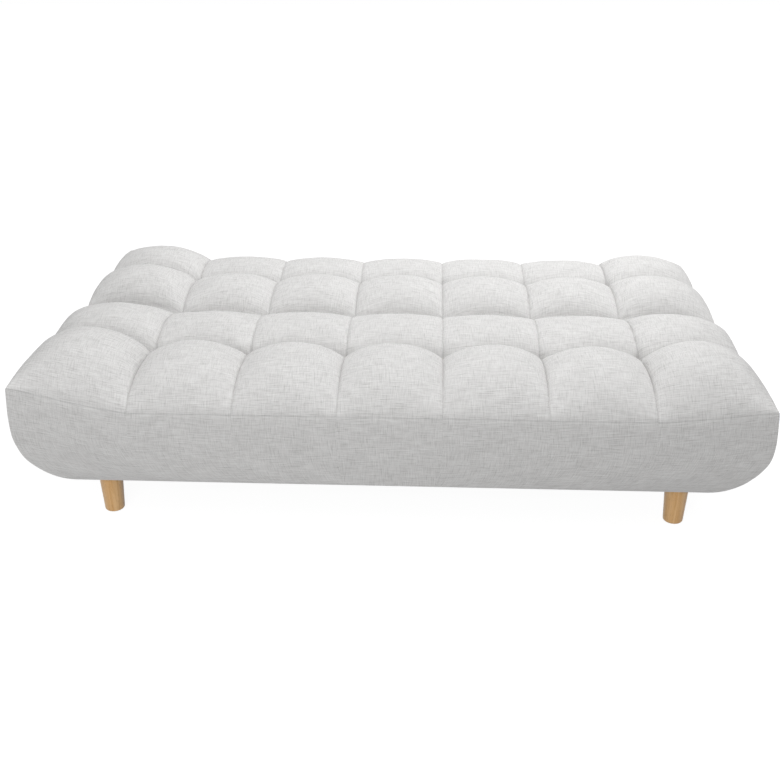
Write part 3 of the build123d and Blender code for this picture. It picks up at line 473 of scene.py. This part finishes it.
def swell_cloth(cover):
    """Let the filling press the cloth out between its seams, and keep the shape."""
    values = [point.value for point in cover.data.attributes["held"].data]
    group = cover.vertex_groups.new(name="held")
    group.add([i for i, value in enumerate(values) if value > 0.5], 1.0, "REPLACE")
    before = [vertex.co.copy() for vertex in cover.data.vertices]
    cloth_modifier = cover.modifiers.new("swelling", "CLOTH")
    settings = cloth_modifier.settings
    settings.quality = cloth_quality
    settings.mass = cloth_mass
    settings.tension_stiffness = cloth_strain
    settings.compression_stiffness = cloth_strain
    settings.shear_stiffness = cloth_shear
    settings.bending_stiffness = cloth_bending
    settings.vertex_group_mass = "held"
    settings.use_pressure = True
    settings.uniform_pressure_force = cloth_pressure
    settings.effector_weights.gravity = 0.0
    cloth_modifier.point_cache.frame_start = 1
    cloth_modifier.point_cache.frame_end = cloth_frames
    for moment in range(1, cloth_frames + 1):
        bpy.context.scene.frame_set(moment)
    bpy.context.view_layer.objects.active = cover
    bpy.ops.object.modifier_apply(modifier=cloth_modifier.name)
    bpy.context.scene.frame_set(1)
    for vertex, start in zip(cover.data.vertices, before):
        move = vertex.co - start
        if move.length > greatest_swell:
            vertex.co = start + move * (greatest_swell / move.length)
    cover.vertex_groups.clear()


# Stitches draw a narrow groove, a tie makes a dimple with short folds round it, and fibre filling is
# never quite even under the cloth.
groove_depth = 0.0018
groove_width = 0.0028
dimple_depth = 0.009
dimple_width = 0.020
fold_height = 0.0022
fold_start = 0.010
fold_reach = 0.034
fold_turn = 1.3
folds_round_tie = 5
lump_height = 0.0016
lump_length = 0.085
lump_distance = 4 * groove_width
small_lump_share = 0.5
small_lump_ratio = 2.7
calm_share = 0.25


def draw_in(cover, panel):
    """Grooves along the stitches, dimples and folds at the ties, and soft lumps of the filling."""
    ties = [Vector((-last_seam + column_pitch * i, panel["tuft_y"])) for i in range(inner_columns + 1)]
    cover.data.update()
    normals = [vertex.normal.copy() for vertex in cover.data.vertices]
    sewn = [point.value for point in cover.data.attributes["sewn"].data]
    for vertex, normal, distance in zip(cover.data.vertices, normals, sewn):
        if vertex.co.z < panel["bottom_z"] + panel["end_radius"] * calm_share:
            continue
        move = -groove_depth * math.exp(-((distance / groove_width) ** 2))
        free = min(1.0, distance / lump_distance)
        place = Vector(vertex.co) / lump_length
        lumps = noise.noise(place) + small_lump_share * noise.noise(place * small_lump_ratio)
        move += lump_height * free * lumps
        if vertex.co.z > seam_z:
            flat = Vector((vertex.co.x, vertex.co.y))
            number, tie = min(enumerate(ties), key=lambda item: (item[1] - flat).length)
            offset = flat - tie
            reach = offset.length
            move -= dimple_depth * math.exp(-((reach / dimple_width) ** 2))
            turn = math.atan2(offset.y, offset.x) + number * fold_turn
            spread = reach / (reach + fold_start) * math.exp(-reach / fold_reach)
            move += fold_height * spread * math.cos(turn * folds_round_tie)
        vertex.co += normal * move


# Pockets: slots in the covers' ends for the hinge arms, with a round room for the pivot's boss. They
# are cut through cloth and filling, and open only to the split between seat and backrest.
pocket_fit = 0.004
pocket_head_room = 0.009
pocket_nut_room = 0.008
boss_room = 0.0155
boss_sides = 48
smooth_angle = 50
hinge = next(joint for joint in frame["joints"] if joint["name"] == "backrest_fold")
hinge_y, hinge_z = hinge["pos_m"][1], hinge["pos_m"][2]


def cut_away(cover, cutter):
    """Take the cutter's form out of the cover."""
    bpy.ops.object.select_all(action="DESELECT")
    cover.select_set(True)
    bpy.context.view_layer.objects.active = cover
    pocket = cover.modifiers.new("pocket", "BOOLEAN")
    pocket.operation = "DIFFERENCE"
    pocket.solver = "EXACT"
    pocket.object = cutter
    bpy.ops.object.modifier_apply(modifier=pocket.name)
    bpy.data.objects.remove(cutter, do_unlink=True)


def cut_hinge_pocket(cover, panel, side):
    """Pocket for the arm at one end of a cover, with room for the pivot boss above the seam."""
    on_seat = panel["inwards"] > 0
    arm_low, arm_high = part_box("right_seat_arm" if on_seat else "right_back_arm")
    x0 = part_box("right_seat_arm")[0][0] - pocket_head_room
    x1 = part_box("pivot_bolts")[1][0] + pocket_nut_room
    gap = panel["split_y"] + panel["inwards"] * pocket_fit
    far = arm_low[1] - pocket_fit if on_seat else arm_high[1] + pocket_fit
    z0, z1 = arm_low[2] - pocket_fit, hinge_z + pocket_fit
    middle = (side * (x0 + x1) / 2, (gap + far) / 2, (z0 + z1) / 2)
    bpy.ops.object.select_all(action="DESELECT")
    bpy.ops.mesh.primitive_cube_add(size=1, location=middle)
    box = bpy.context.object
    box.dimensions = (x1 - x0, abs(gap - far), z1 - z0)
    bpy.context.view_layer.update()
    cut_away(cover, box)
    bpy.ops.object.select_all(action="DESELECT")
    bpy.ops.mesh.primitive_cylinder_add(
        vertices=boss_sides, radius=boss_room, depth=x1 - x0,
        location=(middle[0], hinge_y, hinge_z), rotation=(0, math.pi / 2, 0))
    cut_away(cover, bpy.context.object)


for name, panel in (("seat_upholstery", seat_panel), ("back_upholstery", back_panel)):
    bpy.ops.object.select_all(action="DESELECT")
    bpy.ops.mesh.primitive_plane_add(size=1)
    cover = bpy.context.object
    cover.name = name
    shape = cover_mesh(panel)
    cover.data.clear_geometry()
    shape.to_mesh(cover.data)
    shape.free()
    swell_cloth(cover)
    draw_in(cover, panel)
    cover.data.attributes.remove(cover.data.attributes["held"])
    for side in (-1, 1):
        cut_hinge_pocket(cover, panel, side)
    bpy.ops.object.select_all(action="DESELECT")
    cover.select_set(True)
    bpy.context.view_layer.objects.active = cover
    bpy.ops.object.shade_smooth_by_angle(angle=math.radians(smooth_angle))
    cover.data.materials.clear()
    cover.data.materials.append(cloth)
    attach(cover, panel["body"])
    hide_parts(panel["cover"])

# Dust cloths: black spunbond polypropylene stapled tight under each frame. It hides the springs and
# sags by a few millimetres between its rails. The bonding points show as fine rows of dots.
dust_colour = "1D1D1F"
dust_light = "2C2C2E"
bond_spacing = 0.0025
fibres_per_metre = 380.0
dust_cuts = 24
dust_sag = 0.0025
dust_bays = 3
dust_cloth, tree, shader = new_finish("black_spunbond_cloth")
place = add_node(tree, "ShaderNodeTexCoord").outputs["Object"]
bonds = add_node(tree, "ShaderNodeTexVoronoi", {"distance": "EUCLIDEAN"},
                 {"Scale": 1 / bond_spacing, "Randomness": 0.15}, {"Vector": place})
fibres = add_node(tree, "ShaderNodeTexNoise", inputs={"Scale": fibres_per_metre, "Detail": 4.0},
                  links={"Vector": place})
tone = add_node(tree, "ShaderNodeValToRGB", links={"Fac": fibres.outputs["Fac"]})
tone.color_ramp.elements[0].position = 0.35
tone.color_ramp.elements[0].color = srgb(dust_colour)
tone.color_ramp.elements[1].position = 0.75
tone.color_ramp.elements[1].color = srgb(dust_light)
tree.links.new(tone.outputs[0], shader.inputs["Base Color"])
dots = add_node(tree, "ShaderNodeBump", inputs={"Strength": 0.4, "Distance": 0.0004},
                links={"Height": bonds.outputs["Distance"]})
tree.links.new(dots.outputs[0], shader.inputs["Normal"])
shader.inputs["Roughness"].default_value = 0.8

for name, panel, rails in (
        ("seat_dust_cloth", seat_panel, ["seat_front_rail", "seat_rear_rail", "seat_side_rails"]),
        ("back_dust_cloth", back_panel, ["back_near_rail", "back_far_rail", "back_side_rails"])):
    low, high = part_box(panel["dust"])
    middle = (low + high) / 2
    bpy.ops.object.select_all(action="DESELECT")
    bpy.ops.mesh.primitive_plane_add(size=1, location=middle)
    cloth_sheet = bpy.context.object
    cloth_sheet.name = name
    bpy.ops.object.mode_set(mode="EDIT")
    bpy.ops.mesh.select_all(action="SELECT")
    bpy.ops.transform.resize(value=(high[0] - low[0], high[1] - low[1], 1))
    bpy.ops.mesh.subdivide(number_cuts=dust_cuts)
    bpy.ops.object.mode_set(mode="OBJECT")
    bpy.ops.object.transform_apply(location=True, rotation=True, scale=True)
    for vertex in cloth_sheet.data.vertices:
        along = (vertex.co.x - low[0]) / (high[0] - low[0])
        across = (vertex.co.y - low[1]) / (high[1] - low[1])
        bay_sag = abs(math.sin(dust_bays * math.pi * along))
        vertex.co.z -= dust_sag * math.sin(math.pi * across) * bay_sag
    bpy.ops.object.shade_smooth()
    cloth_sheet.data.materials.append(dust_cloth)
    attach(cloth_sheet, panel["body"])
    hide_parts(panel["dust"])


def dress(nodes, finish):
    """Give a finish to pieces that stay as the frame made them."""
    for node in nodes:
        frame["nodes"][node].material_slots[0].material = finish


def two_tone(tree, source, first, second, low=0.35, high=0.65):
    """Colour between two hex values, led by a pattern."""
    ramp = add_node(tree, "ShaderNodeValToRGB", links={"Fac": source})
    ramp.color_ramp.elements[0].position = low
    ramp.color_ramp.elements[0].color = srgb(first)
    ramp.color_ramp.elements[1].position = high
    ramp.color_ramp.elements[1].color = srgb(second)
    return ramp.outputs[0]


def roughen(tree, shader, source, depth, strength=0.5):
    """Surface relief of a real depth in metres, led by a pattern."""
    bump = add_node(tree, "ShaderNodeBump", inputs={"Strength": strength, "Distance": depth},
                    links={"Height": source})
    tree.links.new(bump.outputs[0], shader.inputs["Normal"])


# Legs: turned beech under clear satin lacquer, screwed into plates under the frame. The grain runs
# down the leg as broad pale and darker streaks, with short dark flecks between them.
beech_pale = "F0C48C"
beech_deep = "D8A464"
beech_fleck = "96693C"
streak_width = 0.009
streak_length = 0.22
fleck_width = 0.0011
fleck_length = 0.009
beech, tree, shader = new_finish("lacquered_beech")
place = add_node(tree, "ShaderNodeTexCoord").outputs["Object"]
streak_place = add_node(tree, "ShaderNodeMapping", inputs={
    "Scale": (1 / streak_width, 1 / streak_width, 1 / streak_length)}, links={"Vector": place})
streaks = add_node(tree, "ShaderNodeTexNoise", inputs={"Scale": 1.0, "Detail": 5.0, "Distortion": 0.6},
                   links={"Vector": streak_place.outputs[0]})
fleck_place = add_node(tree, "ShaderNodeMapping", inputs={
    "Scale": (1 / fleck_width, 1 / fleck_width, 1 / fleck_length)}, links={"Vector": place})
flecks = add_node(tree, "ShaderNodeTexNoise", inputs={"Scale": 1.0, "Detail": 2.0},
                  links={"Vector": fleck_place.outputs[0]})
fleck_share = add_node(tree, "ShaderNodeMapRange", inputs={
    "From Min": 0.60, "From Max": 0.74, "To Min": 0.0, "To Max": 0.55,
}, links={"Value": flecks.outputs["Fac"]})
streak_tone = two_tone(tree, streaks.outputs["Fac"], beech_deep, beech_pale, low=0.32, high=0.62)
beech_tone = add_node(tree, "ShaderNodeMix", {"data_type": "RGBA"}, {"B": srgb(beech_fleck)},
                      {"Factor": fleck_share.outputs[0], "A": streak_tone})
tree.links.new(beech_tone.outputs["Result"], shader.inputs["Base Color"])
roughen(tree, shader, flecks.outputs["Fac"], depth=0.0001, strength=0.3)
shader.inputs["Roughness"].default_value = 0.42
shader.inputs["Coat Weight"].default_value = 0.25
shader.inputs["Coat Roughness"].default_value = 0.3
dress(("front_left_leg", "front_right_leg", "rear_left_leg", "rear_right_leg"), beech)

# Frames: planed pine rails and blocks, glued and screwed, without a finish. The grain runs along the
# bed, with the soft yellow and brown bands of its yearly growth.
pine_pale = "DEC391"
pine_deep = "BE9558"
band_width = 0.006
band_length = 0.35
pine, tree, shader = new_finish("planed_pine")
place = add_node(tree, "ShaderNodeTexCoord").outputs["Object"]
band_place = add_node(tree, "ShaderNodeMapping", inputs={
    "Scale": (1 / band_length, 1 / band_width, 1 / band_width)}, links={"Vector": place})
bands = add_node(tree, "ShaderNodeTexNoise", inputs={"Scale": 1.0, "Detail": 4.0, "Distortion": 1.2},
                 links={"Vector": band_place.outputs[0]})
tree.links.new(two_tone(tree, bands.outputs["Fac"], pine_deep, pine_pale), shader.inputs["Base Color"])
roughen(tree, shader, bands.outputs["Fac"], depth=0.0003)
shader.inputs["Roughness"].default_value = 0.75
dress((
    "seat_front_rail", "seat_rear_rail", "seat_side_rails", "seat_cross_rails", "seat_corner_blocks",
    "back_near_rail", "back_far_rail", "back_side_rails", "back_cross_rails", "back_rest_blocks",
), pine)

# Foam slabs and end foams: cut polyether foam that fills the covers. Fine open cells show as pits,
# and the foam is a little yellowed.
foam_pale = "F1E8CF"
foam_deep = "DCCFAC"
cell_size = 0.0012
cut_foam, tree, shader = new_finish("cut_polyether_foam")
place = add_node(tree, "ShaderNodeTexCoord").outputs["Object"]
pores = add_node(tree, "ShaderNodeTexVoronoi", inputs={"Scale": 1 / cell_size}, links={"Vector": place})
foam_tone = two_tone(tree, pores.outputs["Distance"], foam_pale, foam_deep, low=0.1, high=0.8)
tree.links.new(foam_tone, shader.inputs["Base Color"])
roughen(tree, shader, pores.outputs["Distance"], depth=0.0006)
shader.inputs["Roughness"].default_value = 0.95
dress(("seat_foam", "seat_end_foams", "back_foam", "back_end_foams"), cut_foam)

# Hinge arms, ratchet sectors, pawls and support rails: pressed and welded steel under black powder
# coat, whose cured surface is a fine orange peel with a low shine.
coat_black = "1B1B1D"
coat_worn = "29292C"
peel_size = 0.0015
wear_per_metre = 28.0
powder_coat, tree, shader = new_finish("black_powder_coated_steel")
place = add_node(tree, "ShaderNodeTexCoord").outputs["Object"]
peel = add_node(tree, "ShaderNodeTexNoise", inputs={"Scale": 1 / peel_size, "Detail": 2.0},
                links={"Vector": place})
wear = add_node(tree, "ShaderNodeTexNoise", inputs={"Scale": wear_per_metre, "Detail": 6.0},
                links={"Vector": place})
coat_tone = two_tone(tree, wear.outputs["Fac"], coat_black, coat_worn, low=0.45, high=0.7)
tree.links.new(coat_tone, shader.inputs["Base Color"])
roughen(tree, shader, peel.outputs["Fac"], depth=0.0002, strength=0.35)
shader.inputs["Roughness"].default_value = 0.45
dress((
    "left_seat_arm", "right_seat_arm", "left_back_arm", "right_back_arm", "left_ratchet_sector",
    "right_ratchet_sector", "left_pawl", "right_pawl", "left_support_rail", "right_support_rail",
), powder_coat)

# Fasteners, leg plates and spring clips: steel with bright zinc plate, which shows a faint cloudy
# spangle. They are screwed, bolted or riveted on.
zinc_bright = "C4C7C8"
zinc_cloud = "9EA2A4"
spangle_size = 0.006
haze_per_metre = 260.0
zinc, tree, shader = new_finish("zinc_plated_steel")
place = add_node(tree, "ShaderNodeTexCoord").outputs["Object"]
spangle = add_node(tree, "ShaderNodeTexVoronoi", {"feature": "SMOOTH_F1"},
                   {"Scale": 1 / spangle_size}, {"Vector": place})
haze = add_node(tree, "ShaderNodeTexNoise", inputs={"Scale": haze_per_metre, "Detail": 4.0},
                links={"Vector": place})
zinc_tone = two_tone(tree, spangle.outputs["Distance"], zinc_bright, zinc_cloud, low=0.2, high=0.9)
tree.links.new(zinc_tone, shader.inputs["Base Color"])
zinc_gloss = add_node(tree, "ShaderNodeMapRange", inputs={"To Min": 0.28, "To Max": 0.46},
                      links={"Value": haze.outputs["Fac"]})
tree.links.new(zinc_gloss.outputs[0], shader.inputs["Roughness"])
shader.inputs["Metallic"].default_value = 1.0
dress((
    "support_rail_bolts", "support_rail_nuts", "leg_plates", "leg_bolts", "leg_plate_screws",
    "seat_spring_clips", "back_spring_clips", "sector_rivets", "seat_arm_screws", "back_arm_screws",
    "pivot_bolts", "pivot_washers", "pivot_nuts", "pawl_pins", "pawl_stop_pins", "spring_rivets",
), zinc)

# Zigzag springs and the pawls' leaf springs: oiled hard-drawn wire and strip. It is dark grey, with
# a fine mottle of oil and draw marks.
wire_grey = "6C6D70"
wire_dark = "47484B"
marks_per_metre = 420.0
drawn_wire, tree, shader = new_finish("oiled_spring_steel")
place = add_node(tree, "ShaderNodeTexCoord").outputs["Object"]
draw_marks = add_node(tree, "ShaderNodeTexNoise", inputs={"Scale": marks_per_metre, "Detail": 3.0},
                      links={"Vector": place})
wire_tone = two_tone(tree, draw_marks.outputs["Fac"], wire_dark, wire_grey)
tree.links.new(wire_tone, shader.inputs["Base Color"])
roughen(tree, shader, draw_marks.outputs["Fac"], depth=0.00005)
shader.inputs["Metallic"].default_value = 1.0
shader.inputs["Roughness"].default_value = 0.36
dress(("seat_springs", "back_springs", "pawl_springs"), drawn_wire)

# Bumpers and rail caps: moulded rubber and polyethylene. Both are matt black, with the fine grain
# of a spark-eroded mould.
rubber_black = "19191A"
rubber_dust = "262627"
grain_size = 0.0008
for name, roughness, nodes in (("moulded_rubber", 0.85, ("backrest_bumpers",)),
                               ("moulded_polyethylene", 0.55, ("support_rail_caps",))):
    moulded, tree, shader = new_finish(name)
    place = add_node(tree, "ShaderNodeTexCoord").outputs["Object"]
    grain = add_node(tree, "ShaderNodeTexNoise", inputs={"Scale": 1 / grain_size, "Detail": 3.0},
                     links={"Vector": place})
    grain_tone = two_tone(tree, grain.outputs["Fac"], rubber_black, rubber_dust)
    tree.links.new(grain_tone, shader.inputs["Base Color"])
    roughen(tree, shader, grain.outputs["Fac"], depth=0.0001)
    shader.inputs["Roughness"].default_value = roughness
    dress(nodes, moulded)

# Leg pads: pressed brown wool felt with loose fibres. Arm bushes: sintered bronze, porous and oiled.
# Tuft ties: waxed polyester twine. They are small, so each has one fine pattern.
for name, first, second, size, depth, roughness, metallic, nodes in (
        ("pressed_wool_felt", "4A4038", "6B5F54", 0.0009, 0.0004, 0.95, 0.0, ("leg_pads",)),
        ("sintered_bronze", "8C6A3A", "B88F55", 0.0006, 0.0001, 0.42, 1.0, ("arm_bushes",)),
        ("waxed_twine", "C9C5BC", "E2DFD8", 0.0010, 0.0003, 0.70, 0.0,
         ("seat_tuft_ties", "back_tuft_ties"))):
    small, tree, shader = new_finish(name)
    place = add_node(tree, "ShaderNodeTexCoord").outputs["Object"]
    speck = add_node(tree, "ShaderNodeTexNoise", inputs={"Scale": 1 / size, "Detail": 4.0},
                     links={"Vector": place})
    tree.links.new(two_tone(tree, speck.outputs["Fac"], first, second), shader.inputs["Base Color"])
    roughen(tree, shader, speck.outputs["Fac"], depth)
    shader.inputs["Roughness"].default_value = roughness
    shader.inputs["Metallic"].default_value = metallic
    dress(nodes, small)

# Floor and light: a plain white studio, lit softly from above and in front. The floor shows white
# to the camera and keeps a faint shadow.
floor_size = 30
floor_grey = "7C7C7C"
floor_lift = 0.94
world_level = 0.41


def seen_ray(tree):
    """1 for a ray from the camera, or one that gloss or glass sends on, and 0 for other rays."""
    rays = add_node(tree, "ShaderNodeLightPath").outputs
    sent_on = add_node(tree, "ShaderNodeMath", {"operation": "MAXIMUM"},
                       links={0: rays["Is Glossy Ray"], 1: rays["Is Transmission Ray"]})
    return add_node(tree, "ShaderNodeMath", {"operation": "MAXIMUM"},
                    links={0: rays["Is Camera Ray"], 1: sent_on.outputs[0]}).outputs[0]


bpy.ops.object.select_all(action="DESELECT")
bpy.ops.mesh.primitive_plane_add(size=floor_size, location=(0, 0, 0))
floor = bpy.context.object
floor.name = "studio_floor"
floor_paint, tree, shader = new_finish("white_studio_floor")
shader.inputs["Base Color"].default_value = srgb(floor_grey)
shader.inputs["Roughness"].default_value = 0.9
shader.inputs["Specular IOR Level"].default_value = 0.0
lift = add_node(tree, "ShaderNodeMath", {"operation": "MULTIPLY"}, {1: floor_lift},
                {0: seen_ray(tree)})
glow = add_node(tree, "ShaderNodeEmission", inputs={"Color": (1, 1, 1, 1)},
                links={"Strength": lift.outputs[0]})
both = add_node(tree, "ShaderNodeAddShader", links={0: shader.outputs[0], 1: glow.outputs[0]})
tree.links.new(both.outputs[0], tree.nodes["Material Output"].inputs["Surface"])
floor.data.materials.append(floor_paint)

world = bpy.data.worlds.new("white_studio")
bpy.context.scene.world = world
world.use_nodes = True
tree = world.node_tree
strength = add_node(tree, "ShaderNodeMapRange", inputs={"To Min": world_level, "To Max": 1.0},
                    links={"Value": seen_ray(tree)})
tree.nodes["Background"].inputs["Color"].default_value = (1, 1, 1, 1)
tree.links.new(strength.outputs[0], tree.nodes["Background"].inputs["Strength"])

for lamp_name, place, target, size, power in (
        ("overhead_softbox", (0.8, 1.1, 2.9), (0, 0, 0.3), 2.2, 63),
        ("front_softbox", (-0.6, -3.4, 1.2), (0, 0, 0.2), 2.0, 46)):
    bpy.ops.object.light_add(type="AREA", location=place)
    lamp = bpy.context.object
    lamp.name = lamp_name
    lamp.data.size = size
    lamp.data.energy = power
    lamp.rotation_euler = (Vector(target) - Vector(place)).to_track_quat("-Z", "Y").to_euler()

bpy.context.scene.view_settings.view_transform = "Standard"
